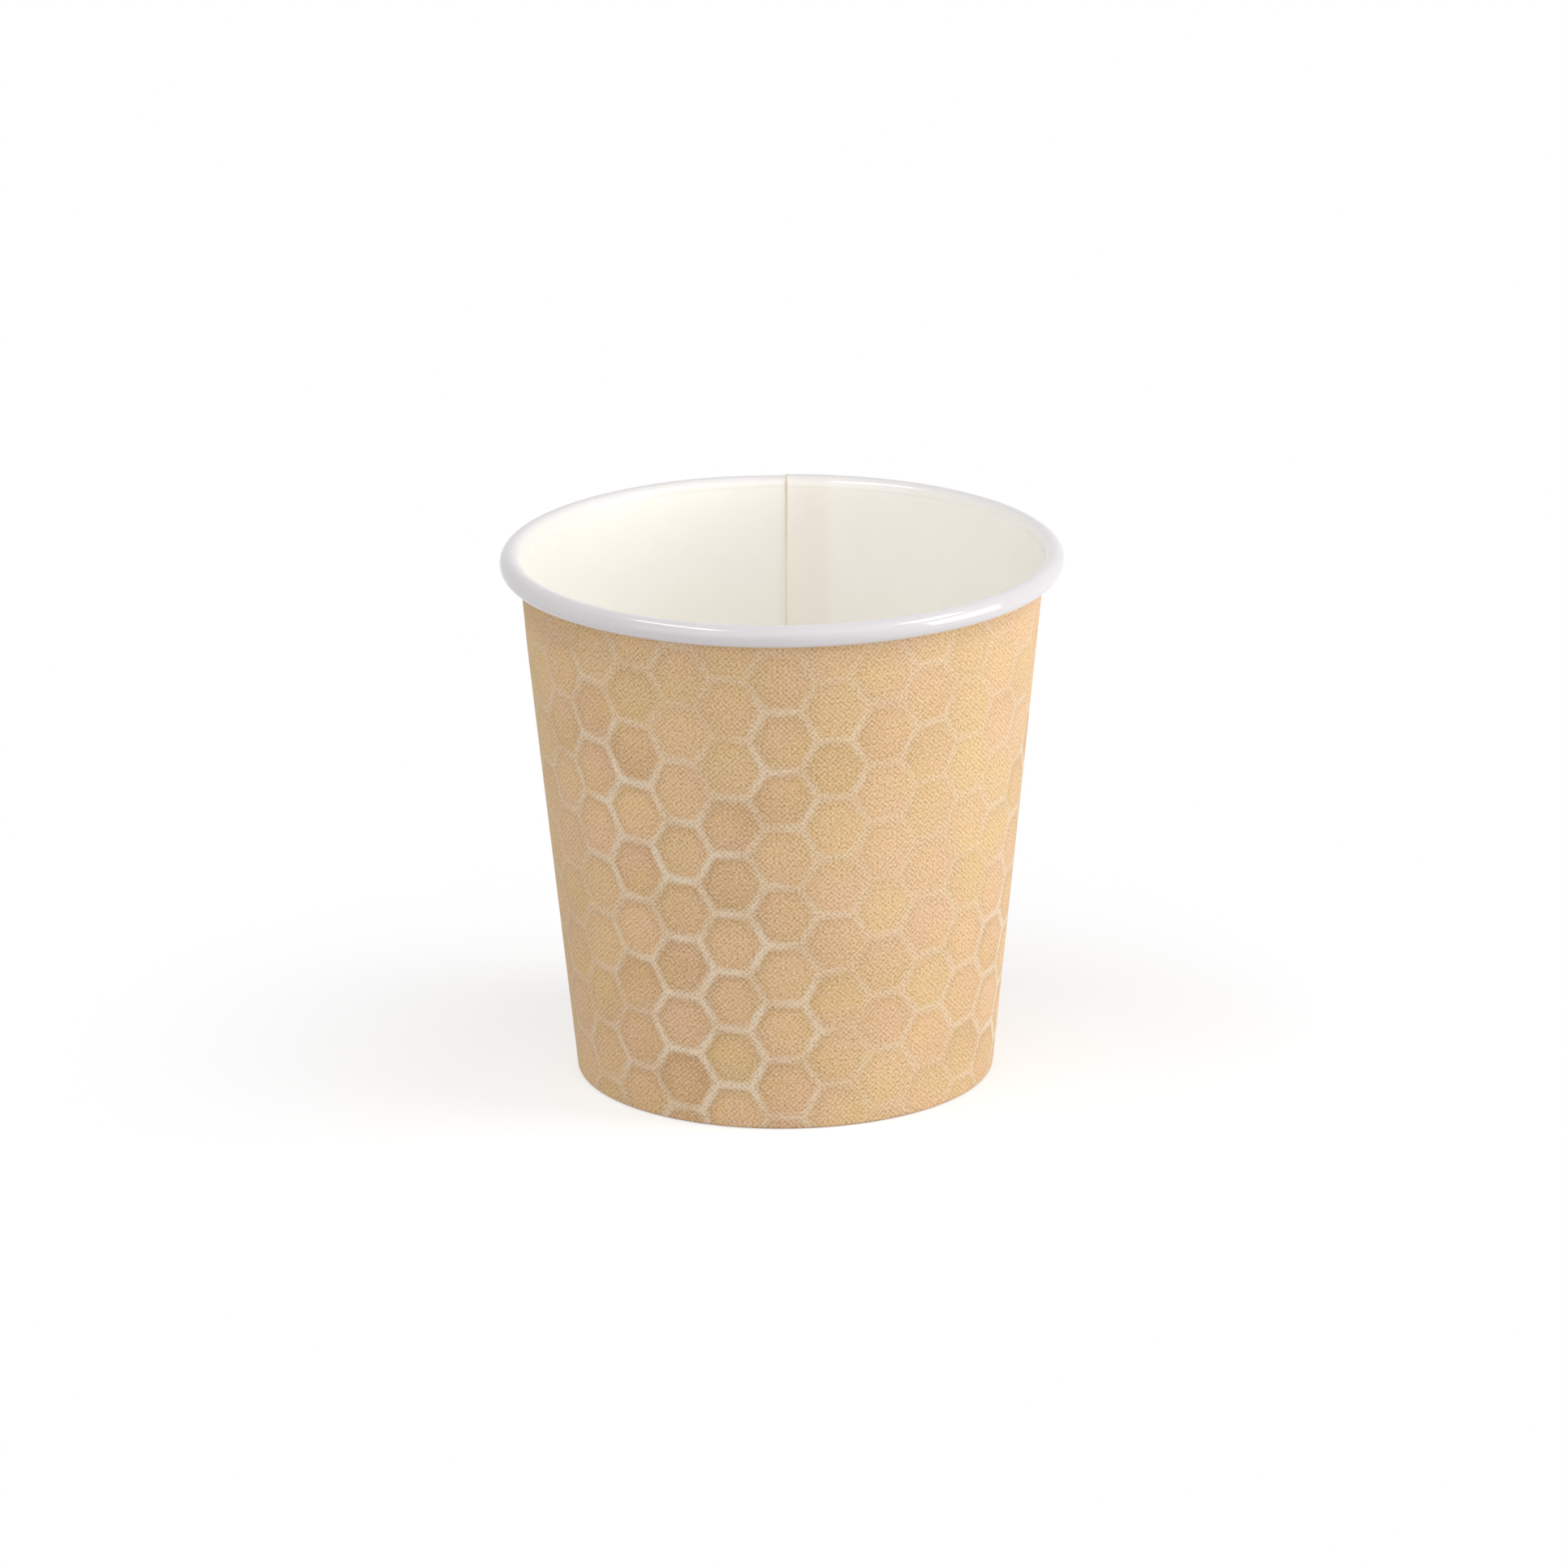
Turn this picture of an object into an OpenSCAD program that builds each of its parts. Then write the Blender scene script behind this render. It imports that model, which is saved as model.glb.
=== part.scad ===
// Paper ice cream cup: one printed board blank wrapped to a cone, rolled rim,
// turned-in foot, and a pressed bottom disc held in the foot.
// The origin is the centre of the foot, +Z is up and the side seam lies at +Y.

/* [Cup] */
// Outer diameter of the rolled rim
rim_d = 62; // [56:0.5:74]
// Outer diameter of the foot
base_d = 46; // [42:0.5:50]
// Height from the table to the top of the rim
cup_h = 59.5; // [45:0.5:80]

/* [Board] */
// Thickness of the side board
board_t = 0.33; // [0.25:0.01:0.45]
// Thickness of the bottom board
disc_t = 0.3; // [0.2:0.01:0.4]
// Width of the glued side lap, along the foot
lap_w = 4.6; // [3:0.1:8]

/* [Rolled rim] */
// Width of the roll, across its section
roll_w = 2.4; // [2.2:0.05:3.2]
// Straight part of the roll's outer side, between its two bends
roll_side = 0.05; // [0.05:0.05:1]
// Gap between the turns of the roll
roll_gap = 0.06; // [0.04:0.01:0.15]
// How far the board's end turns on inside the roll, in degrees
roll_tail = 130; // [95:5:150]

/* [Foot] */
// Height of the disc's upper face above the table
disc_z = 6; // [5:0.1:9]
// Height of the turned-in hem above the table
hem_h = 4.8; // [3.5:0.1:5]
// Inner radius of the fold under the foot
fold_r = 0.1; // [0.06:0.01:0.15]
// Inner radius of the bend round the disc
disc_bend_r = 0.35; // [0.2:0.05:0.8]
// Clearance on each side of the disc's skirt
skirt_fit = 0.05; // [0.03:0.01:0.08]

/* [Print] */
// Distance between opposite sides of neighbouring cells
cell_pitch = 6.85; // [5:0.05:10]
// Width of the lines between the cells
line_w = 0.85; // [0.5:0.05:1.4]
// Height of one cell's centre at the front of the cup
cell_phase_z = 18.9; // [15:0.1:30]
// Thickness that stands for one coat of ink
ink_t = 0.04; // [0.03:0.01:0.08]
// Clearance between the board and the ink, and between two coats
ink_fit = 0.01; // [0.005:0.005:0.03]

/* [Hidden] */
$fn = 180;

BOARD_WHITE = "#F3EEE4";
KRAFT_LINE = "#DCC6A6";
CELL_TINTS = ["#CFAE87", "#C8A77D", "#D3B28B", "#D2B083"];

// Degrees in turns
HALF_TURN = 180;
QUARTER_TURN = 90;

// The roll: centre of its top bend, mid-line radii and the straight outer side
roll_c = [rim_d / 2 - roll_w / 2, cup_h - roll_w / 2];
roll_r = roll_w / 2 - board_t / 2;
roll_h = roll_w + roll_side;
tail_r = roll_r - board_t - roll_gap;
roll_low_c = roll_c - [0, roll_side];
tail_c = roll_low_c - [0, roll_r - tail_r];
ROLL_STEP = 12;

// The wall leans out by this angle, tangent to the roll and through the foot's edge
lean_run = roll_c[0] - base_d / 2;
lean_off = roll_w / 2 - board_t;
lean = acos(lean_off / norm([lean_run, roll_c[1]])) - atan2(roll_c[1], lean_run);
out_dir = [cos(lean), -sin(lean)];
up_dir = [sin(lean), cos(lean)];

// The folds under the foot: one below the wall and one below the hem
pocket_w = disc_t + 2 * skirt_fit;
fold_out_r = fold_r + board_t;
wall_fold_c = [base_d / 2 + fold_out_r * (tan(lean) - 1 / cos(lean)), fold_out_r];
fold_gap = (pocket_w - 2 * fold_r) / cos(lean);
hem_fold_c = wall_fold_c - [fold_gap, 0];
floor_stub = fold_gap / 3;
FOLD_STEPS = 6;
BEND_STEPS = 8;

// The wrap: the right half turns about one centre and the left half about another,
// half a board further out, so that the blank's two ends lie one on the other
right_y = -board_t / 2;
hem_left_y = -board_t;
lap_angle = lap_w / (base_d / 2) * HALF_TURN / PI;
FRONT = -90;
BACK = 90;

// The cone of the print: distance of its apex below the table, and the cell's side
apex_drop = base_d / 2 / tan(lean);
cell_side = cell_pitch / sqrt(3);
CELL_DEPTH = 1.6;

// The ink ends behind the roll, and on the lap just below it, where the blank's first end fills it
ink_high = cup_h - roll_h + board_t / 2;
lap_ink_high = cup_h - roll_h - ink_fit;

// The lines thin out in patches, and each cell takes one of a few tints
LINE_FADE = 0.45;
FADE_LENGTH_U = 31;
FADE_LENGTH_V = 23;
TINT_STEP_C = 7;
TINT_STEP_K = 5;

// Points of an arc about c, from angle a to angle b, in n steps
function arc(c, r, a, b, n) = [for (i = [0 : n]) c + r * [cos(a + (b - a) * i / n), sin(a + (b - a) * i / n)]];

// A point on the wall's outer face at height z, moved outwards by off
function wall_point(z, off = 0) = [base_d / 2 + z * tan(lean), z] + off * out_dir;

// One side of the rolled board, at off from its mid-line
function roll_line(off) = concat(
    arc(roll_c, roll_r + off, HALF_TURN - lean, 0, HALF_TURN / ROLL_STEP),
    arc(roll_low_c, roll_r + off, 0, -QUARTER_TURN, round(QUARTER_TURN / ROLL_STEP)),
    arc(tail_c, tail_r + off, -QUARTER_TURN - ROLL_STEP, -QUARTER_TURN - roll_tail, round(roll_tail / ROLL_STEP))
);

// Section of the wall from the floor of the fold up to the end of the roll
module wall_section() {
    outside = arc(wall_fold_c, fold_out_r, -QUARTER_TURN, -lean, FOLD_STEPS);
    inside = arc(wall_fold_c, fold_r, -lean, -QUARTER_TURN, FOLD_STEPS);
    stub_x = wall_fold_c[0] - floor_stub;
    roll_top = roll_line(board_t / 2);
    polygon(concat(
        [[stub_x, board_t], [stub_x, 0]],
        outside,
        roll_line(-board_t / 2),
        [for (i = [len(roll_top) - 1 : -1 : 0]) roll_top[i]],
        inside
    ));
}

// Section of the hem, from the floor of the fold up to its cut edge
module hem_section() {
    stub_x = hem_fold_c[0] + floor_stub;
    hem_top = hem_fold_c - fold_r * out_dir + (hem_h - fold_out_r) / cos(lean) * up_dir;
    polygon(concat(
        [[stub_x, 0], [stub_x, board_t]],
        arc(hem_fold_c, fold_r, -QUARTER_TURN, -HALF_TURN - lean, FOLD_STEPS),
        [hem_top, hem_top - board_t * out_dir],
        arc(hem_fold_c, fold_out_r, -HALF_TURN - lean, -QUARTER_TURN, FOLD_STEPS)
    ));
}

// Section of the floor between the two folds, when they move apart by step
module floor_section(step) {
    inner = hem_fold_c[0] + floor_stub / 2 - step;
    outer = wall_fold_c[0] - floor_stub / 2 + step;
    translate([inner, 0]) square([outer - inner, board_t]);
}

// The right half of the wrap, where both folds share the disc's centre
module right_half() {
    translate([0, right_y, 0]) rotate_extrude(angle = HALF_TURN, start = FRONT) {
        wall_section();
        hem_section();
        floor_section(0);
    }
}

// The left half, where the wall drifts out and the hem drifts in
module left_half() {
    drift = board_t / 2;
    rotate_extrude(angle = HALF_TURN, start = BACK) translate([drift, 0]) wall_section();
    translate([0, hem_left_y, 0])
        rotate_extrude(angle = HALF_TURN, start = BACK) translate([-drift, 0]) hem_section();
    linear_extrude(board_t) intersection() {
        translate([-base_d, -base_d]) square([base_d, 2 * base_d]);
        difference() {
            circle(wall_fold_c[0] - floor_stub / 2 + drift);
            translate([0, hem_left_y]) circle(hem_fold_c[0] + floor_stub / 2 - drift);
        }
    }
}

// The lap, one board outside the blank's first end
module lap() {
    translate([0, right_y, 0]) rotate_extrude(angle = lap_angle, start = BACK - lap_angle) {
        translate([board_t, 0]) wall_section();
        translate([-board_t, 0]) hem_section();
        floor_section(board_t);
    }
}

// Section of a coat of ink on the outside, from the foot's fold up to a height
module ink_section(off, high) {
    low = fold_out_r * (1 - sin(lean));
    polygon([wall_point(low, off), wall_point(high, off), wall_point(high, off + ink_t), wall_point(low, off + ink_t)]);
}

// Coat of ink on the right half, up to the lap's edge
module ink_right(off) {
    translate([0, right_y, 0]) rotate_extrude(angle = HALF_TURN - lap_angle, start = FRONT) ink_section(off, ink_high);
}

// Coat of ink on the left half and over the lap
module ink_left(off) {
    rotate_extrude(angle = HALF_TURN, start = BACK) translate([board_t / 2, 0]) ink_section(off, ink_high);
    translate([0, right_y, 0]) rotate_extrude(angle = lap_angle, start = BACK - lap_angle)
        translate([board_t, 0]) ink_section(off, lap_ink_high);
}

// Places a flat shape of the blank on the cone: u runs round from the front, v up from the apex
module on_cone(u, v) {
    turn = atan2(u, v);
    slant = norm([u, v]);
    rotate([0, 0, FRONT + turn / sin(lean)])
        translate([slant * sin(lean), 0, slant * cos(lean) - apex_drop])
            rotate([0, lean, 0]) rotate([QUARTER_TURN, 0, QUARTER_TURN]) rotate([0, 0, turn]) children();
}

// Share of the full line width at a place on the blank
function line_share(u, v) = 1 - LINE_FADE * (1 + sin(360 * u / FADE_LENGTH_U) * sin(360 * (v + u / 2) / FADE_LENGTH_V)) / 2;

// Cells of one tint in columns from c0 to c1; the blank is flat, so the rows are straight on it
module cells(c0, c1, tint) {
    v_phase = (cell_phase_z + apex_drop) / cos(lean);
    slant_low = apex_drop / cos(lean);
    slant_high = (apex_drop + cup_h) / cos(lean);
    rows = ceil(cup_h / cell_pitch);
    for (c = [c0 : c1], k = [-2 * rows : rows]) {
        u = c * 1.5 * cell_side;
        v = v_phase + (k + (c % 2 == 0 ? 0 : 0.5)) * cell_pitch;
        slant = norm([u, v]);
        is_on_wall = slant > slant_low - cell_side && slant < slant_high;
        has_tint = (abs(c * TINT_STEP_C + k * TINT_STEP_K + c * k)) % len(CELL_TINTS) == tint;
        if (is_on_wall && has_tint)
            on_cone(u, v) translate([0, 0, -CELL_DEPTH / 2]) linear_extrude(CELL_DEPTH)
                circle((cell_pitch - line_w * line_share(u, v)) / sqrt(3), $fn = 6);
    }
}

// The blank: wall, rolled rim, foot fold and hem of one board
module side_wall() {
    color(BOARD_WHITE) {
        right_half();
        left_half();
        lap();
    }
}

// The bottom: a disc with its edge turned down into the foot's pocket
module bottom_disc() {
    bend_out_r = disc_bend_r + disc_t;
    skirt_low = wall_fold_c + (fold_r - skirt_fit) * out_dir;
    bend_foot = skirt_low - bend_out_r * out_dir;
    bend_c = bend_foot + (disc_z - bend_out_r - bend_foot[1]) / cos(lean) * up_dir;
    color(BOARD_WHITE) translate([0, right_y, 0]) rotate_extrude() polygon(concat(
        [[0, disc_z - disc_t], [0, disc_z]],
        arc(bend_c, bend_out_r, QUARTER_TURN, -lean, BEND_STEPS),
        [skirt_low, skirt_low - disc_t * out_dir],
        arc(bend_c, disc_bend_r, -lean, QUARTER_TURN, BEND_STEPS)
    ));
}

// The ground of the print, over the whole outside
module kraft_print() {
    color(KRAFT_LINE) {
        ink_right(ink_fit);
        ink_left(ink_fit);
    }
}

// The honeycomb of the print: six-sided fields with the ground showing as lines
module honeycomb_print() {
    off = 2 * ink_fit + ink_t;
    half_columns = ceil((PI * rim_d / 2 + lap_w) / (1.5 * cell_side));
    for (tint = [0 : len(CELL_TINTS) - 1])
        color(CELL_TINTS[tint]) {
            intersection() {
                ink_right(off);
                cells(0, half_columns, tint);
            }
            intersection() {
                ink_left(off);
                cells(-half_columns, 0, tint);
            }
        }
}

side_wall();
bottom_disc();
kraft_print();
honeycomb_print();
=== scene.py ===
import math

import bmesh
import bpy
from mathutils import Matrix, Vector


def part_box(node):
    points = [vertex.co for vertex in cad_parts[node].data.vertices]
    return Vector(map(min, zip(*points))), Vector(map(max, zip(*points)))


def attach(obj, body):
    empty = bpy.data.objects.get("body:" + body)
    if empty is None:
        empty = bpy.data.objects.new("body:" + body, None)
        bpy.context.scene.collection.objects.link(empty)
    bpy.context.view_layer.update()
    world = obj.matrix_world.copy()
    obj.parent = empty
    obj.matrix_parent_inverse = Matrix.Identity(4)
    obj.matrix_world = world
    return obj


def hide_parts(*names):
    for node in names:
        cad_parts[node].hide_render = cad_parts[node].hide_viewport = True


# Paper ice cream cup: one printed blank of coated board, wrapped to a cone with a lapped
# seam at the back, its rim rolled outwards and its foot turned in round a bottom disc.

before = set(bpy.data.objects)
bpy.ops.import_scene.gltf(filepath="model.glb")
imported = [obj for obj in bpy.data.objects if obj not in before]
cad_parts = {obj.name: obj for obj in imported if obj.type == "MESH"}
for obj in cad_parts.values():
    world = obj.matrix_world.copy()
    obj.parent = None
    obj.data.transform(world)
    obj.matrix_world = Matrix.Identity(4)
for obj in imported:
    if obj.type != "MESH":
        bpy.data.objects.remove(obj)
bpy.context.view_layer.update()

MM = 0.001
PHOTO_SIDE = 1932

# Sizes in millimetres, as the part's source has them
BOARD_T = 0.33
DISC_T = 0.30
LAP_W = 4.6
ROLL_W = 2.4
ROLL_H = 2.45
ROLL_GAP = 0.06
ROLL_TAIL_DEG = 130
BASE_D = 46.0
FOLD_R = 0.1
DISC_BEND_R = 0.35
SKIRT_FIT = 0.05
HEM_H = 4.8

# Sizes that the frame gives: the wrap is half a board wider on its outer side
wall_low, wall_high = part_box("side_wall")
_, disc_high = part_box("bottom_disc")
CUP_H = wall_high[2] / MM
RIM_D = (wall_high[0] - wall_low[0]) / MM - BOARD_T / 2
DISC_Z = disc_high[2] / MM

# The rolled rim: centres of its bends and radii of the board's mid-line
ROLL_C = Vector((RIM_D / 2 - ROLL_W / 2, CUP_H - ROLL_W / 2))
ROLL_R = ROLL_W / 2 - BOARD_T / 2
TAIL_R = ROLL_R - BOARD_T - ROLL_GAP
ROLL_LOW_C = ROLL_C - Vector((0, ROLL_H - ROLL_W))
TAIL_C = ROLL_LOW_C - Vector((0, ROLL_R - TAIL_R))

# The wall's lean, tangent to the roll and through the foot's edge
LEAN_RUN = ROLL_C.x - BASE_D / 2
FOOT_TO_ROLL = math.hypot(LEAN_RUN, ROLL_C.y)
LEAN = math.acos((ROLL_W / 2 - BOARD_T) / FOOT_TO_ROLL) - math.atan2(ROLL_C.y, LEAN_RUN)
OUT = Vector((math.cos(LEAN), -math.sin(LEAN)))
UP = Vector((math.sin(LEAN), math.cos(LEAN)))

# The two folds under the foot, as mid-line arcs
FOLD_MID_R = FOLD_R + BOARD_T / 2
FOLD_OUT_R = FOLD_R + BOARD_T
WALL_FOLD_C = Vector((BASE_D / 2 + FOLD_OUT_R * (math.tan(LEAN) - 1 / math.cos(LEAN)), FOLD_OUT_R))
HEM_FOLD_C = WALL_FOLD_C - Vector(((DISC_T + 2 * SKIRT_FIT - 2 * FOLD_R) / math.cos(LEAN), 0))

# The wrap: degrees round the cup from the blank's first edge, which shows inside at the back
LAP_DEG = math.degrees(LAP_W / (BASE_D / 2))
WRAP_DEG = 360 + LAP_DEG
WRAP_COLUMNS = 300
WRAP_CENTRE_Y = -BOARD_T / 2

# The lap's fit
SETTLE_FROM = 12  # below the rim the layers settle on one circle, from here
SETTLE_TO = 2  # to here
ROLL_NEST_DEG = 25  # the squeeze in the roll dies out over this turn
START_PRESS = 0.65  # share of its thickness that the first end loses there
END_PRESS = 0.38  # and the last end
CUT_SLANT = 0.14  # lean of the first end's cut edge
FOLD_CLEAR = 0.02  # height of the first end's floor above the layer below it

# The flat blank: from the cone's apex to the foot's edge, and from there to the start of the roll
APEX_TO_FOOT = BASE_D / 2 / math.sin(LEAN)
ROLL_PLACE = (ROLL_C.y + ROLL_R * math.sin(LEAN)) / math.cos(LEAN)

# Limits of the meshes: points nearer than MERGE are one, and edges turned by more than SHARP show
MERGE = 0.001
SHARP = math.radians(40)

# The board and its film, and the sizes of what shows in them
FIBRE_CLOUD = 4  # clouds of fibre under the film
FILM_PEEL = 1.2  # the film's orange peel
CREASE_PITCH = 0.7  # creases across the roll
CREASE_LONG = 6.0
CREASE_DEEP = 0.08
DENT_DEEP = 0.02  # depth of the peel and of the fibres

# The print, on the flat blank: rows and columns of cells, and the lines between them
CELL_HIGH = 6.85  # from one cell to the next in its column
CELL_COLUMN = 5.72  # from one column to the next
CELL_SHIFT = (0.25, 246.5)  # where one cell has its centre
LINE_HALF = 0.30  # half the lines' width
LINE_SOFT = 0.52  # blur of their edges
CORNER_ROUND = 0.55
WANDER = 1.1  # how far they stray from straight

# How strongly the artwork is printed: the shares between which each kind of fading runs
BANDS = 3  # strong bands round the cup
BAND_PEAK_DEG = 203  # middle of one of them
BAND_SHARES = (0.5, 1.08)  # between the bands, and in them
TOP_FADE = (CUP_H - 16, CUP_H - 4)  # heights between which it fades under the rim
TOP_SHARES = (1.0, 0.65)  # below that, and above it
PATCH_SHARES = (0.5, 1.0)
PATCH_PICK = 164.0  # the slice of the noise that the patches come from
BREAK_SHARES = (0.45, 1.0)

# The screen dots and the fibres that break them up
DOT_PITCH = 0.44
DOT_SHARE = 0.7  # weight of the dots beside the fibres
FIBRES_PER_MM = 3.4
GRAIN = 0.46  # how far a full speck goes towards its pale or dark tone

# The photograph's camera, fitted to the cup's outline; the picture's centre is above the cup's middle
CAMERA_TILT = math.radians(17.61)
CAMERA_ROLL = math.radians(-0.508)
CAMERA_TURN = math.radians(0.85)
CAMERA_REACH = 1117.0
PIXELS_PER_MM = 11.137
AIM_POINT = Vector((0, 0, 30))
AIM_RISE = 24.45 / PIXELS_PER_MM
SENSOR = 36.0

# Soft boxes: name, direction from the cup, size in metres, share of the light on a white card there
LAMPS = [
    ("right_top", (0.66, -0.14, 0.74), (0.24, 0.16), 0.26),
    ("right_low", (0.97, -0.20, 0.15), (0.40, 0.40), 0.69),
    ("front_top", (0.00, -0.70, 0.70), (0.90, 0.50), 0.21),
    ("front_left", (-0.56, -0.80, 0.22), (0.60, 0.50), 0.27),
    ("left_top", (-0.41, -0.18, 0.88), (0.36, 0.10), 0.26),
]
LAMP_REACH = 0.60
WORLD_LEVEL = 0.37

# The floor, in metres, runs out to white between these distances from the cup's middle
FLOOR_HALF = 0.40
SHADOW_NEAR = 0.025
SHADOW_FAR = 0.085
FLOOR_DROP = 0.00002
FLOOR_LIFT = 0.50


def linear(hex_code):
    """An sRGB hex colour as linear red, green, blue and alpha."""
    parts = [int(hex_code[i:i + 2], 16) / 255 for i in (1, 3, 5)]
    return [p / 12.92 if p <= 0.04045 else ((p + 0.055) / 1.055) ** 2.4 for p in parts] + [1.0]


def add(tree, kind, feeds=None, **settings):
    """Adds a node with its settings, and feeds its inputs with sockets or values.

    Inputs go by name or number: 1 to 4 of a MapRange are the range it reads and the one it gives,
    and 6 and 7 of a Mix are its colours at shares 0 and 1, or 4 and 5 its vectors."""
    node = tree.nodes.new("ShaderNode" + kind)
    for name, value in settings.items():
        setattr(node, name, value)
    for name, value in (feeds or {}).items():
        if isinstance(value, bpy.types.NodeSocket):
            tree.links.new(value, node.inputs[name])
        else:
            node.inputs[name].default_value = value
    return node


def smooth_step(x, start, end):
    """0 before start, 1 after end and a smooth rise between them."""
    t = min(max((x - start) / (end - start), 0.0), 1.0)
    return t * t * (3 - 2 * t)


def bend(centre, radius, start, end, steps):
    """Points of an arc from one angle to another, in radians, with the direction out from its centre."""
    points = []
    for i in range(steps + 1):
        angle = start + (end - start) * i / steps
        out = Vector((math.cos(angle), math.sin(angle)))
        points.append((centre + radius * out, out))
    return points


def blank_line():
    """The board's mid-line from the hem's cut edge to the end of the roll.

    Each entry is (point, direction of the printed face, slant place on the flat blank)."""
    hem_rows, wall_rows = 4, 30
    hem_fold = bend(HEM_FOLD_C, FOLD_MID_R, -math.pi - LEAN, -math.pi / 2, steps=8)
    wall_fold = bend(WALL_FOLD_C, FOLD_MID_R, -math.pi / 2, -LEAN, steps=7)
    hem_low = hem_fold[0][0]
    hem_top = hem_low + (HEM_H - FOLD_OUT_R) / math.cos(LEAN) * UP
    line = [(hem_top.lerp(hem_low, i / hem_rows), -OUT) for i in range(hem_rows)]
    line += hem_fold + wall_fold
    foot_row = len(line) - 1
    # On the roll the printed face looks to the middle of the roll
    tail_end = -math.pi / 2 - math.radians(ROLL_TAIL_DEG)
    roll = bend(ROLL_C, ROLL_R, math.pi - LEAN, 0, steps=18)
    roll += bend(ROLL_LOW_C, ROLL_R, 0, -math.pi / 2, steps=9)
    roll += bend(TAIL_C, TAIL_R, -math.pi / 2, tail_end, steps=12)[1:]
    foot, top = wall_fold[-1][0], roll[0][0]
    line += [(foot.lerp(top, i / wall_rows), OUT) for i in range(1, wall_rows)]
    line += [(point, -out) for point, out in roll]
    places = [0.0]
    for (a, _), (b, _) in zip(line, line[1:]):
        places.append(places[-1] + (b - a).length)
    shift = APEX_TO_FOOT + FOLD_OUT_R - places[foot_row]
    return [(point, face, place + shift) for (point, face), place in zip(line, places)]


def roll_share(place):
    """0 on the wall and 1 on the roll, by place on the flat blank."""
    rim_place = APEX_TO_FOOT + CUP_H
    return smooth_step(place, rim_place - SETTLE_FROM, rim_place - SETTLE_TO)


def lap_press(degrees, place):
    """The share of its thickness that the board loses where the roll squeezes the lap's two layers."""
    near_start = START_PRESS * (1 - smooth_step(degrees, LAP_DEG, LAP_DEG + ROLL_NEST_DEG))
    near_end = END_PRESS * smooth_step(degrees, 360 - ROLL_NEST_DEG, 360)
    return max(near_start, near_end) * roll_share(place)


def wrap_drift(degrees, place):
    """How far the board has moved to its printed side, as a share of its thickness."""
    if degrees < 180:
        return -lap_press(degrees, place)
    on_wall = 1.0 if degrees >= 360 else (1 + math.cos(math.radians(degrees))) / 2
    return on_wall * (1 - roll_share(place))


def set_uv(bm, name, coordinates):
    """Writes a UV map from {vertex: (u, v)}."""
    layer = bm.loops.layers.uv.new(name)
    for face in bm.faces:
        for loop in face.loops:
            loop[layer].uv = coordinates[loop.vert]


def finish_piece(bm, name, materials):
    """Makes the object in metres, smooth but for its sharp edges."""
    bmesh.ops.scale(bm, vec=(MM, MM, MM), verts=bm.verts)
    for face in bm.faces:
        face.smooth = True
    for edge in bm.edges:
        edge.smooth = edge.calc_face_angle(0) < SHARP
    mesh = bpy.data.meshes.new(name)
    bm.to_mesh(mesh)
    bm.free()
    for material in materials:
        mesh.materials.append(material)
    piece = bpy.data.objects.new(name, mesh)
    bpy.context.scene.collection.objects.link(piece)
    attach(piece, "root")
    return piece


def wrapped_blank():
    """The blank's printed face: a flat grid, wrapped to the cup."""
    line = blank_line()
    rows = len(line) - 1
    bm = bmesh.new()
    bmesh.ops.create_grid(bm, x_segments=WRAP_COLUMNS, y_segments=rows, size=0.5)
    flat, wrap = {}, {}
    for vert in bm.verts:
        degrees = (vert.co.x + 0.5) * WRAP_DEG
        point, face, place = line[round((vert.co.y + 0.5) * rows)]
        drift = wrap_drift(degrees, place) * BOARD_T
        # The floor of the fold stays level where the layers drift apart, but the first end's lies a
        # little higher than the layer below it
        first_end = 1 - smooth_step(degrees, LAP_DEG, 2 * LAP_DEG)
        lift = face.y * drift if point.y > HEM_H else FOLD_CLEAR * first_end
        reach = point.x + face.x * (drift + BOARD_T / 2)
        azimuth = math.radians(90 - degrees)
        vert.co = (
            reach * math.cos(azimuth),
            WRAP_CENTRE_Y + reach * math.sin(azimuth),
            point.y + lift + face.y * BOARD_T / 2,
        )
        # The wrap runs from right to left, seen from the printed side
        turn = math.radians(degrees - 180) * math.sin(LEAN)
        flat[vert] = (-place * math.sin(turn), place * math.cos(turn))
        wrap[vert] = (math.radians(degrees) * BASE_D / 2, place - APEX_TO_FOOT)
    set_uv(bm, "blank", flat)
    set_uv(bm, "wrap", wrap)
    bmesh.ops.reverse_faces(bm, faces=bm.faces)
    return bm


def squeeze_lap(bm, coated):
    """Moves the coated face in where the roll squeezes the lap, and slants the cut edge that shows."""
    wrap = bm.loops.layers.uv["wrap"]
    places = {loop.vert: loop[wrap].uv.copy() for face in coated for loop in face.loops}
    normals = {vert: vert.normal.copy() for vert in places}
    half_column = WRAP_DEG / WRAP_COLUMNS / 2
    for vert, (run, rise) in places.items():
        degrees = math.degrees(run / (BASE_D / 2))
        vert.co -= lap_press(degrees, rise + APEX_TO_FOOT) * BOARD_T * normals[vert]
        if degrees < half_column:
            vert.co.x += CUT_SLANT


def side_wall():
    """The printed blank as one closed shell: coated face, printed face and cut edges."""
    on_coated, on_printed, on_cut = range(3)
    bm = wrapped_blank()
    printed = bm.faces[:]
    offset = bmesh.ops.solidify(bm, geom=printed, thickness=BOARD_T)["geom"]
    coated = {item for item in offset if isinstance(item, bmesh.types.BMFace)}
    for face in bm.faces:
        face.material_index = on_coated if face in coated else on_cut
    for face in printed:
        face.material_index = on_printed
    bmesh.ops.recalc_face_normals(bm, faces=bm.faces)
    squeeze_lap(bm, coated)
    piece = finish_piece(bm, "side_wall_board", [coated_board(), kraft_print(), cut_board()])
    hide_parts("side_wall", "kraft_print", "honeycomb_print")


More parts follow.
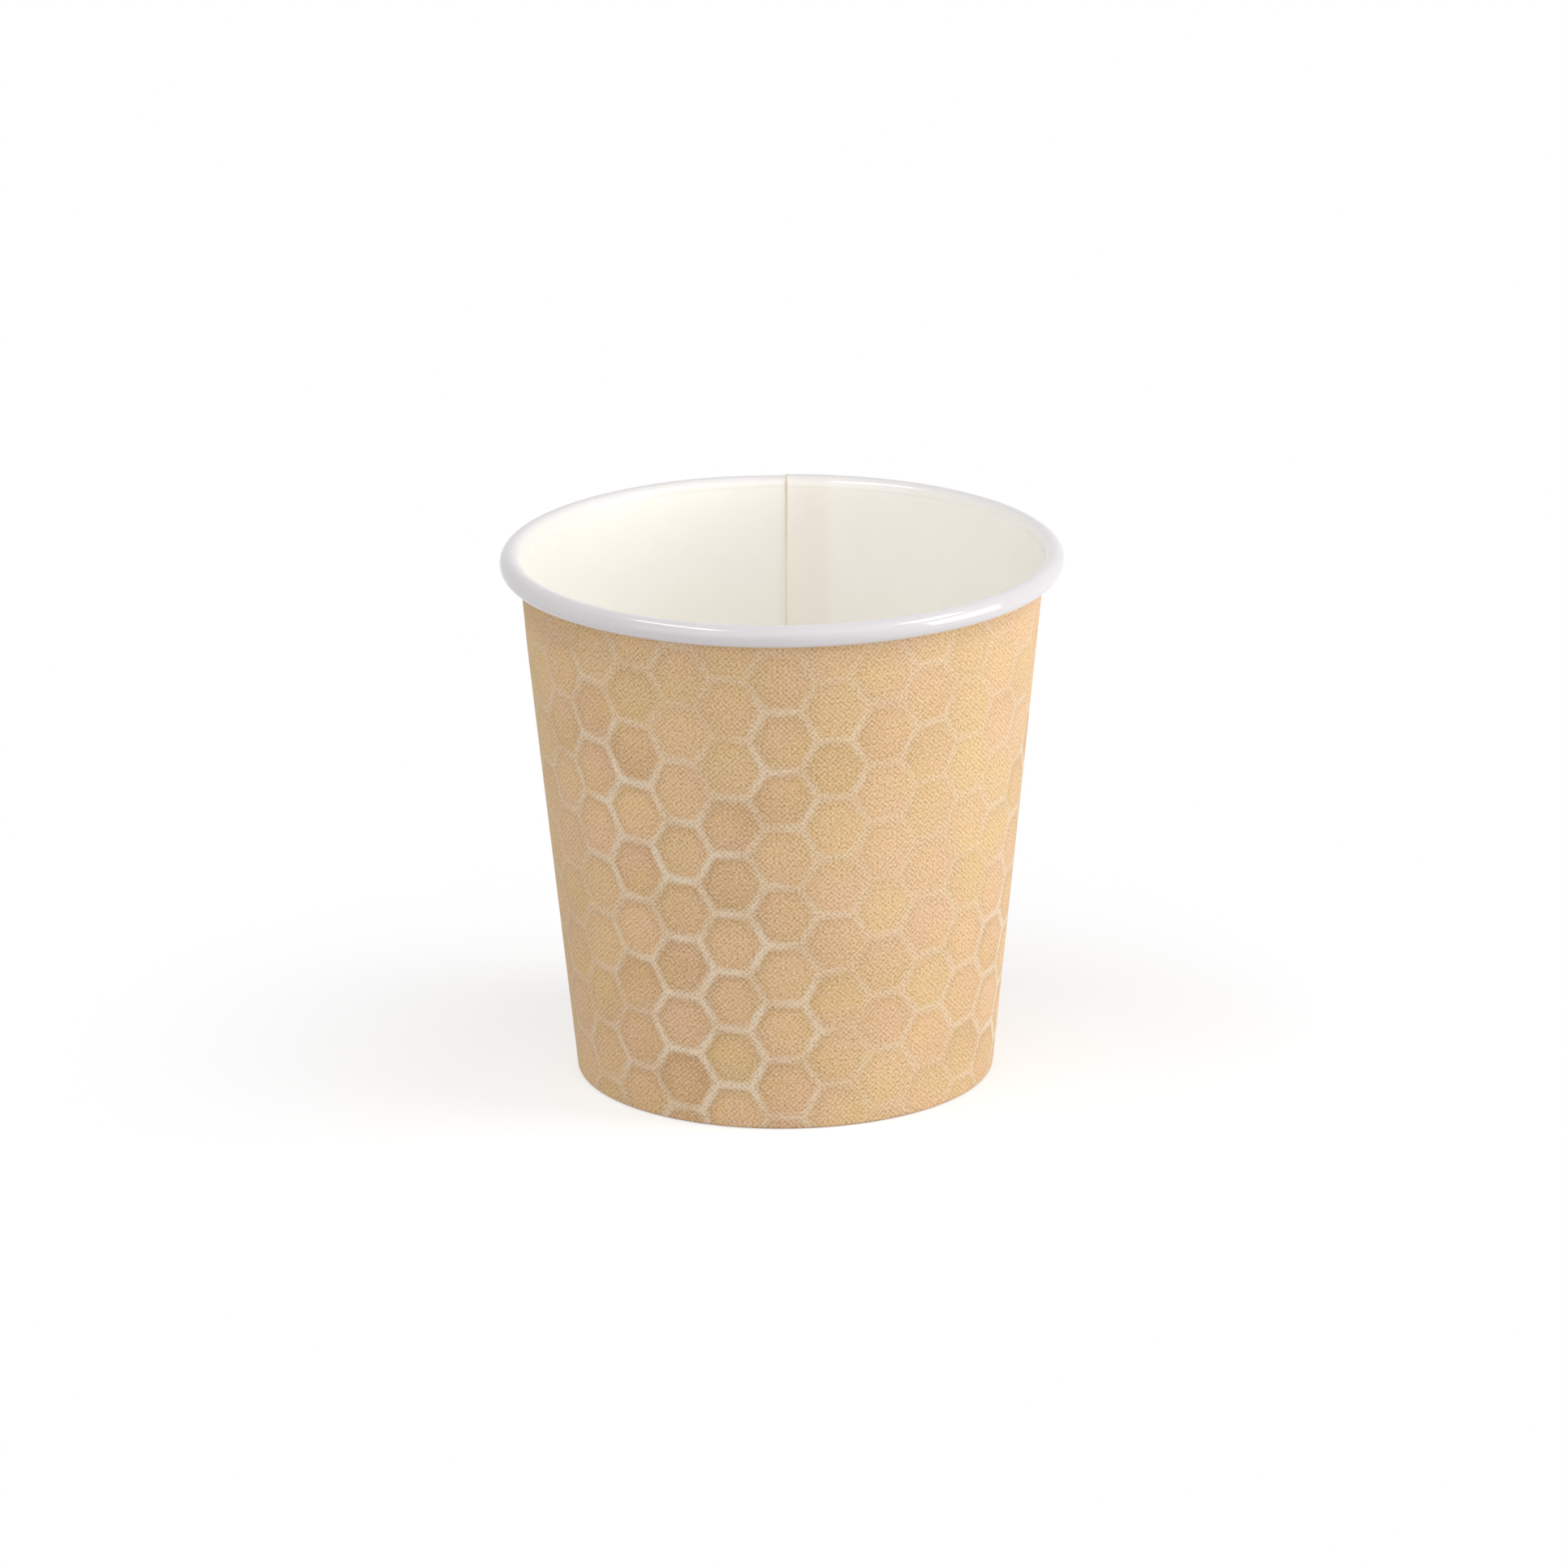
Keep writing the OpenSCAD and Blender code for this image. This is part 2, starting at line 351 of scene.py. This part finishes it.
def bottom_disc():
    """The bottom: its section, spun round the cup's middle."""
    skirt_low = WALL_FOLD_C + (FOLD_R - SKIRT_FIT) * OUT
    bend_foot = skirt_low - (DISC_BEND_R + DISC_T) * OUT
    bend_c = bend_foot + (DISC_Z - DISC_BEND_R - DISC_T - bend_foot.y) / math.cos(LEAN) * UP
    rings = (0.35, 0.7, 0.95)
    section = [Vector((0, DISC_Z - DISC_T)), Vector((0, DISC_Z))]
    section += [Vector((bend_c.x * share, DISC_Z)) for share in rings]
    section += [point for point, _ in bend(bend_c, DISC_BEND_R + DISC_T, math.pi / 2, -LEAN, steps=8)]
    section += [skirt_low, skirt_low - DISC_T * OUT]
    section += [point for point, _ in bend(bend_c, DISC_BEND_R, -LEAN, math.pi / 2, steps=8)]
    section += [Vector((bend_c.x * share, DISC_Z - DISC_T)) for share in reversed(rings)]
    bm = bmesh.new()
    verts = [bm.verts.new((point.x, WRAP_CENTRE_Y, point.y)) for point in section]
    edges = [bm.edges.new(pair) for pair in zip(verts, verts[1:] + verts[:1])]
    bmesh.ops.spin(bm, geom=verts + edges, cent=(0, WRAP_CENTRE_Y, 0), axis=(0, 0, 1),
                   angle=2 * math.pi, steps=144, use_merge=True)
    bmesh.ops.remove_doubles(bm, verts=bm.verts, dist=MERGE)
    bmesh.ops.dissolve_degenerate(bm, edges=bm.edges, dist=MERGE)
    bmesh.ops.recalc_face_normals(bm, faces=bm.faces)
    # Only the upper face is coated
    for face in bm.faces:
        face.material_index = 0 if face.normal.z > 0.1 else 1
    piece = finish_piece(bm, "bottom_board", [disc_coating(), raw_board()])
    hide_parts("bottom_disc")


def new_material(name):
    """A material with only its Principled shader and output, as (material, tree, shader)."""
    material = bpy.data.materials.new(name)
    material.use_nodes = True
    tree = material.node_tree
    return material, tree, tree.nodes["Principled BSDF"]


def coated_board():
    """Polyethylene-coated cup board, ironed smooth: a satin ivory sheet, shinier on the roll."""
    material, tree, shader = new_material("polyethylene_coated_board")
    wrap = add(tree, "UVMap", uv_map="wrap").outputs[0]
    run, rise = add(tree, "SeparateXYZ", {0: wrap}).outputs[:2]
    on_roll = add(tree, "MapRange", {0: rise, 1: ROLL_PLACE - 0.6, 2: ROLL_PLACE + 0.5},
                  interpolation_type="SMOOTHSTEP")
    # Over the roll's inner side and crown the board turns a darker lilac grey: painted shade, with the
    # film's cooler tone
    roll_shade_share = add(tree, "MapRange", {0: rise, 1: ROLL_PLACE - 0.4, 2: ROLL_PLACE + 2.0},
                  interpolation_type="SMOOTHSTEP")
    # Light comes through one layer of board, and less through the lap's two
    past_lap = add(tree, "MapRange", {0: run, 1: LAP_W - 1.5, 2: LAP_W + 0.3},
                   interpolation_type="SMOOTHSTEP")
    inside = add(tree, "Mix", {0: past_lap.outputs[0], 6: linear("#F6F1E8"), 7: linear("#FAF7F0")},
                 data_type="RGBA")
    rolled = add(tree, "Mix", {0: roll_shade_share.outputs[0], 6: inside.outputs[2], 7: linear("#D1CDCF")},
                 data_type="RGBA")
    # The roll's outer side is lighter again: painted light, where light from below would fall on it
    roll_painted_light_share = add(tree, "MapRange", {0: rise, 1: ROLL_PLACE + 2.4, 2: ROLL_PLACE + 4.4},
                    interpolation_type="SMOOTHSTEP")
    board = add(tree, "Mix", {0: roll_painted_light_share.outputs[0], 6: rolled.outputs[2], 7: linear("#EAE6E8")},
                data_type="RGBA")
    # Faint clouds of fibre
    spot = add(tree, "TexCoord").outputs["Object"]
    clouds = add(tree, "TexNoise", {"Vector": spot, "Scale": 1 / (FIBRE_CLOUD * MM), "Detail": 3.0})
    cloud_tone = add(tree, "MapRange", {0: clouds.outputs[0], 1: 0.3, 2: 0.7, 3: 0.985, 4: 1.0})
    tone = add(tree, "Mix", {0: 1.0, 6: board.outputs[2], 7: cloud_tone.outputs[0]},
               data_type="RGBA", blend_type="MULTIPLY")
    tree.links.new(tone.outputs[2], shader.inputs["Base Color"])
    gloss = add(tree, "MapRange", {0: on_roll.outputs[0], 3: 0.42, 4: 0.06})
    tree.links.new(gloss.outputs[0], shader.inputs["Roughness"])
    # The roll gathers the board into fine creases across it, in patches about 14 mm wide
    crease_run = add(tree, "VectorMath", {0: wrap, 1: (1 / CREASE_PITCH, 1 / CREASE_LONG, 1.0)},
                     operation="MULTIPLY")
    creases = add(tree, "TexNoise", {"Vector": crease_run.outputs[0], "Scale": 1.0, "Detail": 1.0})
    patches = add(tree, "TexNoise", {"Vector": wrap, "Scale": 1 / 14, "Detail": 0.0})
    patch_share = add(tree, "MapRange", {0: patches.outputs[0], 1: 0.4, 2: 0.6})
    crease_share = add(tree, "Math", {0: patch_share.outputs[0], 1: on_roll.outputs[0]},
                       operation="MULTIPLY")
    crease_height = add(tree, "Math", {0: creases.outputs[0], 1: crease_share.outputs[0]},
                        operation="MULTIPLY")
    creased = add(tree, "Bump", {"Height": crease_height.outputs[0], "Strength": 0.35,
                                 "Distance": CREASE_DEEP * MM})
    # The film has a slight orange peel
    peel = add(tree, "TexNoise", {"Vector": spot, "Scale": 1 / (FILM_PEEL * MM), "Detail": 2.0})
    bumped = add(tree, "Bump", {"Height": peel.outputs[0], "Strength": 0.35,
                                "Distance": DENT_DEEP * MM, "Normal": creased.outputs[0]})
    tree.links.new(bumped.outputs[0], shader.inputs["Normal"])
    shader.inputs["IOR"].default_value = 1.5
    return material


def cells(tree, blank):
    """The honeycomb: each point's cell number, its way from that cell's centre, and its distance
    in millimetres from the cell's edge."""
    # The cells are drawn by hand, so their lines wander a little
    wander = add(tree, "TexNoise", {"Vector": blank, "Scale": 1 / 9, "Detail": 1.0})
    wander_by = add(tree, "VectorMath", {0: wander.outputs[1], 1: (0.5, 0.5, 0.5)},
                    operation="SUBTRACT")
    wander_mm = add(tree, "VectorMath", {0: wander_by.outputs[0], "Scale": WANDER}, operation="SCALE")
    drawn = add(tree, "VectorMath", {0: blank, 1: wander_mm.outputs[0]}, operation="ADD")
    centred = add(tree, "VectorMath", {0: drawn.outputs[0], 1: (*CELL_SHIFT, 0)},
                  operation="SUBTRACT")
    # Two grids of cell centres, one in each second column; the nearer centre owns the point
    step = (2 * CELL_COLUMN, CELL_HIGH, 1)
    regular = (math.sqrt(3) * CELL_HIGH, CELL_HIGH, 1)
    grid = add(tree, "VectorMath", {0: centred.outputs[0], 1: step}, operation="DIVIDE").outputs[0]
    offset = add(tree, "VectorMath", {0: grid, 1: (0.5, 0.5, 0)}, operation="ADD").outputs[0]
    centres = []
    for place in (grid, offset):
        rounded = add(tree, "VectorMath", {0: place, 1: (0.5, 0.5, 0.5)}, operation="ADD")
        number = add(tree, "VectorMath", {0: rounded.outputs[0]}, operation="FLOOR")
        share = add(tree, "VectorMath", {0: place, 1: number.outputs[0]}, operation="SUBTRACT")
        way = add(tree, "VectorMath", {0: share.outputs[0], 1: regular}, operation="MULTIPLY")
        reach = add(tree, "VectorMath", {0: way.outputs[0]}, operation="LENGTH")
        centres.append((number.outputs[0], way.outputs[0], reach.outputs["Value"]))
    (number_a, way_a, reach_a), (number_b, way_b, reach_b) = centres
    nearer = add(tree, "Math", {0: reach_b, 1: reach_a}, operation="LESS_THAN").outputs[0]
    half_number = add(tree, "VectorMath", {0: number_b, 1: (0.5, 0.5, 0)}, operation="SUBTRACT")
    number = add(tree, "Mix", {0: nearer, 4: number_a, 5: half_number.outputs[0]}, data_type="VECTOR")
    way = add(tree, "Mix", {0: nearer, 4: way_a, 5: way_b}, data_type="VECTOR")
    # A cell's sides lie along its row and at 60 degrees to it, and its corners are rounded
    flat = add(tree, "VectorMath", {0: way.outputs[1]}, operation="ABSOLUTE")
    wide, high = add(tree, "SeparateXYZ", {0: flat.outputs[0]}).outputs[:2]
    across = add(tree, "Math", {0: wide, 1: math.sqrt(3) / 2}, operation="MULTIPLY")
    slope = add(tree, "Math", {0: high, 1: 0.5, 2: across.outputs[0]}, operation="MULTIPLY_ADD")
    reach = add(tree, "Math", {0: high, 1: slope.outputs[0], 2: CORNER_ROUND},
                operation="SMOOTH_MAX")
    edge = add(tree, "Math", {0: CELL_HIGH / 2, 1: reach.outputs[0]}, operation="SUBTRACT")
    return number.outputs[1], way.outputs[1], edge.outputs[0]


def artwork_share(tree, blank):
    """How strongly the artwork is printed: in broad bands round the cup, fading between them and
    near the rim, with patches about 20 mm across where it fades too."""
    wrap = add(tree, "UVMap", uv_map="wrap").outputs[0]
    run, rise = add(tree, "SeparateXYZ", {0: wrap}).outputs[:2]
    turn = add(tree, "Math", {0: run, 1: BANDS * 2 / BASE_D, 2: -math.radians(BAND_PEAK_DEG * BANDS)},
               operation="MULTIPLY_ADD")
    band = add(tree, "Math", {0: turn.outputs[0]}, operation="COSINE")
    low, high = BAND_SHARES
    band_share = add(tree, "MapRange", {0: band.outputs[0], 1: -0.8, 2: 0.6, 3: low, 4: high})
    start, end = TOP_FADE
    below, above = TOP_SHARES
    top_share = add(tree, "MapRange", {0: rise, 1: start, 2: end, 3: below, 4: above})
    broad = add(tree, "Math", {0: band_share.outputs[0], 1: top_share.outputs[0]},
                operation="MULTIPLY")
    patches = add(tree, "TexNoise", {"Vector": blank, "W": PATCH_PICK, "Scale": 1 / 21, "Detail": 1.0},
                  noise_dimensions="4D")
    low, high = PATCH_SHARES
    faded = add(tree, "MapRange", {0: patches.outputs[0], 1: 0.36, 2: 0.54, 3: low, 4: high})
    share = add(tree, "Math", {0: faded.outputs[0], 1: broad.outputs[0]}, operation="MULTIPLY")
    return share.outputs[0]


def cell_browns(tree, blank, number, strong):
    """Each cell's own brown, from pinkish to yellowish and up to a tenth darker where the artwork
    is strong, under blotches of yellower and of pinker ink about 7 mm across."""
    chance = add(tree, "TexWhiteNoise", {0: number}, noise_dimensions="3D")
    hue, deep = add(tree, "SeparateColor", {0: chance.outputs["Color"]}).outputs[:2]
    warm = add(tree, "Mix", {0: hue, 6: linear("#E6BC8F"), 7: linear("#E1BF87")}, data_type="RGBA")
    depth = add(tree, "Math", {0: deep, 1: strong}, operation="MULTIPLY")
    brown = add(tree, "Mix", {0: depth.outputs[0], 6: warm.outputs[2], 7: linear("#CFA675")},
                data_type="RGBA")
    blotch = add(tree, "TexNoise", {"Vector": blank, "Scale": 1 / 7, "Detail": 3.0})
    yellow, pink = add(tree, "SeparateColor", {0: blotch.outputs[1]}).outputs[:2]
    yellow_share = add(tree, "MapRange", {0: yellow, 1: 0.44, 2: 0.68, 3: 0.0, 4: 0.55})
    pink_share = add(tree, "MapRange", {0: pink, 1: 0.46, 2: 0.68, 3: 0.0, 4: 0.5})
    yellowed = add(tree, "Mix", {0: yellow_share.outputs[0], 6: brown.outputs[2], 7: linear("#E9C384")},
                   data_type="RGBA")
    kraft = add(tree, "Mix", {0: pink_share.outputs[0], 6: yellowed.outputs[2], 7: linear("#E7BB98")},
                data_type="RGBA")
    return kraft.outputs[2]


def cell_shade(tree, way, edge, strong):
    """The share of dark ink beside the lines, as if the cells were sunk, most at their upper left."""
    beside = add(tree, "MapRange", {0: edge, 1: LINE_HALF + LINE_SOFT / 2, 2: 1.7, 3: 1.0, 4: 0.0})
    upper_left = add(tree, "VectorMath", {0: way, 1: (-0.5, 0.86, 0)}, operation="DOT_PRODUCT")
    side_share = add(tree, "MapRange", {0: upper_left.outputs["Value"],
                                        1: -CELL_HIGH / 2, 2: CELL_HIGH / 2, 3: 0.12, 4: 0.5})
    drawn = add(tree, "Math", {0: beside.outputs[0], 1: strong}, operation="MULTIPLY")
    shade = add(tree, "Math", {0: drawn.outputs[0], 1: side_share.outputs[0]}, operation="MULTIPLY")
    return shade.outputs[0]


def pale_line(tree, blank, edge, strong):
    """The share of bare board in the lines between the cells, with small breaks in single lines."""
    line = add(tree, "MapRange", {0: edge, 1: LINE_HALF - LINE_SOFT / 2, 2: LINE_HALF + LINE_SOFT,
                                  3: 1.0, 4: 0.0}, interpolation_type="SMOOTHSTEP")
    breaks = add(tree, "TexNoise", {"Vector": blank, "Scale": 1 / 5, "Detail": 1.0})
    low, high = BREAK_SHARES
    break_share = add(tree, "MapRange", {0: breaks.outputs[0], 1: 0.35, 2: 0.6, 3: low, 4: high})
    drawn = add(tree, "Math", {0: strong, 1: break_share.outputs[0]}, operation="MULTIPLY")
    pale = add(tree, "Math", {0: line.outputs[0], 1: drawn.outputs[0]}, operation="MULTIPLY")
    return pale.outputs[0]


def screen_specks(tree, blank, grain):
    """Screen dots at 45 degrees, broken up by the fibres: above 0 where paler, below 0 where darker.

    Real dots are about 0.2 mm apart. These are drawn twice as coarse, so that they still show."""
    dot_turn = math.sqrt(2) * math.pi / DOT_PITCH
    waves = []
    for run in add(tree, "SeparateXYZ", {0: blank}).outputs[:2]:
        turn = add(tree, "Math", {0: run, 1: dot_turn}, operation="MULTIPLY")
        waves.append(add(tree, "Math", {0: turn.outputs[0]}, operation="SINE").outputs[0])
    dots = add(tree, "Math", {0: waves[0], 1: waves[1]}, operation="MULTIPLY")
    grain_tone = add(tree, "MapRange", {0: grain, 1: 0.3, 2: 0.7, 3: -1.0, 4: 1.0})
    speck = add(tree, "Math", {0: dots.outputs[0], 1: DOT_SHARE, 2: grain_tone.outputs[0]},
                operation="MULTIPLY_ADD")
    return speck.outputs[0]


def kraft_print():
    """Offset ink on white board: a kraft tone in fine screen dots, with a honeycomb of paler
    lines that fade out in patches, and cells of slightly different browns."""
    material, tree, shader = new_material("kraft_honeycomb_ink")
    blank = add(tree, "UVMap", uv_map="blank").outputs[0]
    number, way, edge = cells(tree, blank)
    strong = artwork_share(tree, blank)
    kraft = cell_browns(tree, blank, number, strong)
    shade = cell_shade(tree, way, edge, strong)
    shaded = add(tree, "Mix", {0: shade, 6: kraft, 7: linear("#B68C5A")}, data_type="RGBA")
    pale = pale_line(tree, blank, edge, strong)
    inked = add(tree, "Mix", {0: pale, 6: shaded.outputs[2], 7: linear("#EBD5B7")}, data_type="RGBA")
    grain = add(tree, "TexNoise", {"Vector": blank, "Scale": FIBRES_PER_MM, "Detail": 1.0}).outputs[0]
    speck = screen_specks(tree, blank, grain)
    ink = inked.outputs[2]
    for most, tone in ((1.4, "#F1E6D2"), (-1.4, "#7F5F3E")):
        share = add(tree, "MapRange", {0: speck, 1: 0.0, 2: most, 3: 0.0, 4: GRAIN})
        ink = add(tree, "Mix", {0: share.outputs[0], 6: ink, 7: linear(tone)}, data_type="RGBA").outputs[2]
    tree.links.new(ink, shader.inputs["Base Color"])
    weave = add(tree, "Bump", {"Height": grain, "Strength": 0.3, "Distance": DENT_DEEP * MM})
    tree.links.new(weave.outputs[0], shader.inputs["Normal"])
    shader.inputs["Roughness"].default_value = 0.62
    return material


def fibre_material(name, light, dark, size_mm):
    """Bare board: matt, with a mottle of fibres."""
    material, tree, shader = new_material(name)
    spot = add(tree, "TexCoord").outputs["Object"]
    fibres = add(tree, "TexNoise", {"Vector": spot, "Scale": 1 / (size_mm * MM), "Detail": 6.0,
                                    "Roughness": 0.7})
    share = add(tree, "MapRange", {0: fibres.outputs[0], 1: 0.35, 2: 0.65})
    tone = add(tree, "Mix", {0: share.outputs[0], 6: linear(dark), 7: linear(light)}, data_type="RGBA")
    tree.links.new(tone.outputs[2], shader.inputs["Base Color"])
    rough = add(tree, "Bump", {"Height": fibres.outputs[0], "Strength": 0.4, "Distance": DENT_DEEP * MM})
    tree.links.new(rough.outputs[0], shader.inputs["Normal"])
    shader.inputs["Roughness"].default_value = 0.85
    return material


def cut_board():
    """Die-cut edge of the board: bare fibre, a little greyer than the faces."""
    return fibre_material("die_cut_board_edge", "#EADFCB", "#DCCFB8", 0.3)


def raw_board():
    """Uncoated back of the bottom board."""
    return fibre_material("uncoated_bleached_board", "#F0EBE0", "#E6DFD0", 1.2)


def disc_coating():
    """Polyethylene-coated face of the bottom board, as satin as the wall's."""
    material, tree, shader = new_material("coated_bottom_board")
    spot = add(tree, "TexCoord").outputs["Object"]
    clouds = add(tree, "TexNoise", {"Vector": spot, "Scale": 1 / (FIBRE_CLOUD * MM), "Detail": 3.0})
    tone = add(tree, "Mix", {0: clouds.outputs[0], 6: linear("#F4F0E8"), 7: linear("#FAF7F0")},
               data_type="RGBA")
    tree.links.new(tone.outputs[2], shader.inputs["Base Color"])
    peel = add(tree, "TexNoise", {"Vector": spot, "Scale": 1 / (FILM_PEEL * MM), "Detail": 2.0})
    bumped = add(tree, "Bump", {"Height": peel.outputs[0], "Strength": 0.35, "Distance": DENT_DEEP * MM})
    tree.links.new(bumped.outputs[0], shader.inputs["Normal"])
    shader.inputs["Roughness"].default_value = 0.42
    return material


def backdrop_share(tree):
    """1 where the background itself is seen: by the camera, in a reflection or through glass."""
    path = add(tree, "LightPath")
    seen = add(tree, "Math", {0: path.outputs["Is Camera Ray"], 1: path.outputs["Is Glossy Ray"]},
               operation="MAXIMUM")
    through = add(tree, "Math", {0: seen.outputs[0], 1: path.outputs["Is Transmission Ray"]},
                  operation="MAXIMUM")
    return through.outputs[0]


def floor():
    """A floor of matt grey paper that keeps the cup's shadow and runs out to white."""
    bm = bmesh.new()
    bmesh.ops.create_grid(bm, x_segments=1, y_segments=1, size=FLOOR_HALF)
    bmesh.ops.translate(bm, verts=bm.verts, vec=(0, 0, -FLOOR_DROP))
    mesh = bpy.data.meshes.new("floor")
    bm.to_mesh(mesh)
    bm.free()
    plane = bpy.data.objects.new("floor", mesh)
    bpy.context.scene.collection.objects.link(plane)
    material, tree, shader = new_material("matt_grey_paper")
    shader.inputs["Base Color"].default_value = linear("#C0C0C0")
    shader.inputs["Roughness"].default_value = 1.0
    shader.inputs["Specular IOR Level"].default_value = 0.0
    # Seen directly, it is lifted to near white, and beyond the shadow it runs out to the background
    seen = backdrop_share(tree)
    lift = add(tree, "Math", {0: seen, 1: FLOOR_LIFT}, operation="MULTIPLY")
    shader.inputs["Emission Color"].default_value = (1, 1, 1, 1)
    tree.links.new(lift.outputs[0], shader.inputs["Emission Strength"])
    spot = add(tree, "TexCoord").outputs["Object"]
    reach = add(tree, "VectorMath", {0: spot}, operation="LENGTH")
    run_out = add(tree, "MapRange", {0: reach.outputs["Value"], 1: SHADOW_NEAR, 2: SHADOW_FAR},
                  interpolation_type="SMOOTHSTEP")
    white_share = add(tree, "Math", {0: run_out.outputs[0], 1: seen}, operation="MULTIPLY")
    white = add(tree, "Emission")
    mixed = add(tree, "MixShader", {0: white_share.outputs[0], 1: shader.outputs[0], 2: white.outputs[0]})
    tree.links.new(mixed.outputs[0], tree.nodes["Material Output"].inputs["Surface"])
    mesh.materials.append(material)


def studio_light():
    """White surroundings, and soft boxes that leave three streaks of light on the rim."""
    world = bpy.data.worlds.new("white_studio")
    bpy.context.scene.world = world
    world.use_nodes = True
    tree = world.node_tree
    sky = tree.nodes["Background"]
    sky_level = add(tree, "MapRange", {0: backdrop_share(tree), 3: WORLD_LEVEL, 4: 1.0})
    sky.inputs["Color"].default_value = (1, 1, 1, 1)
    tree.links.new(sky_level.outputs[0], sky.inputs["Strength"])
    for name, direction, size, level in LAMPS:
        lamp = bpy.data.lights.new(name, "AREA")
        lamp.shape = "RECTANGLE"
        lamp.size, lamp.size_y = size
        lamp.energy = level * math.pi ** 2 * LAMP_REACH ** 2
        holder = bpy.data.objects.new(name, lamp)
        towards = Vector(direction).normalized()
        holder.location = towards * LAMP_REACH + AIM_POINT * MM
        holder.rotation_euler = towards.to_track_quat("Z", "Y").to_euler()
        bpy.context.scene.collection.objects.link(holder)


def camera():
    """The photograph's camera: from the front, a little above, with a slight roll."""
    ahead = Vector((-math.sin(CAMERA_TURN), math.cos(CAMERA_TURN), 0))
    side = Vector((math.cos(CAMERA_TURN), math.sin(CAMERA_TURN), 0))
    back = math.sin(CAMERA_TILT) * Vector((0, 0, 1)) - math.cos(CAMERA_TILT) * ahead
    place = AIM_POINT + CAMERA_REACH * back
    rise = back.cross(side)
    right = math.cos(CAMERA_ROLL) * side + math.sin(CAMERA_ROLL) * rise
    up = math.cos(CAMERA_ROLL) * rise - math.sin(CAMERA_ROLL) * side
    back = (place - AIM_POINT - AIM_RISE * up).normalized()
    up = back.cross(right).normalized()
    right = up.cross(back)
    lens = bpy.data.cameras.new("photo_camera")
    lens.sensor_width = SENSOR
    lens.lens = SENSOR * PIXELS_PER_MM * CAMERA_REACH / PHOTO_SIDE
    lens.clip_start = 0.01
    holder = bpy.data.objects.new("photo_camera", lens)
    turn = Matrix((right, up, back)).transposed().to_4x4()
    holder.matrix_world = Matrix.Translation(place * MM) @ turn
    bpy.context.scene.collection.objects.link(holder)
    bpy.context.scene.camera = holder


camera()
studio_light()
floor()
side_wall()
bottom_disc()
bpy.context.scene.view_settings.view_transform = "Standard"
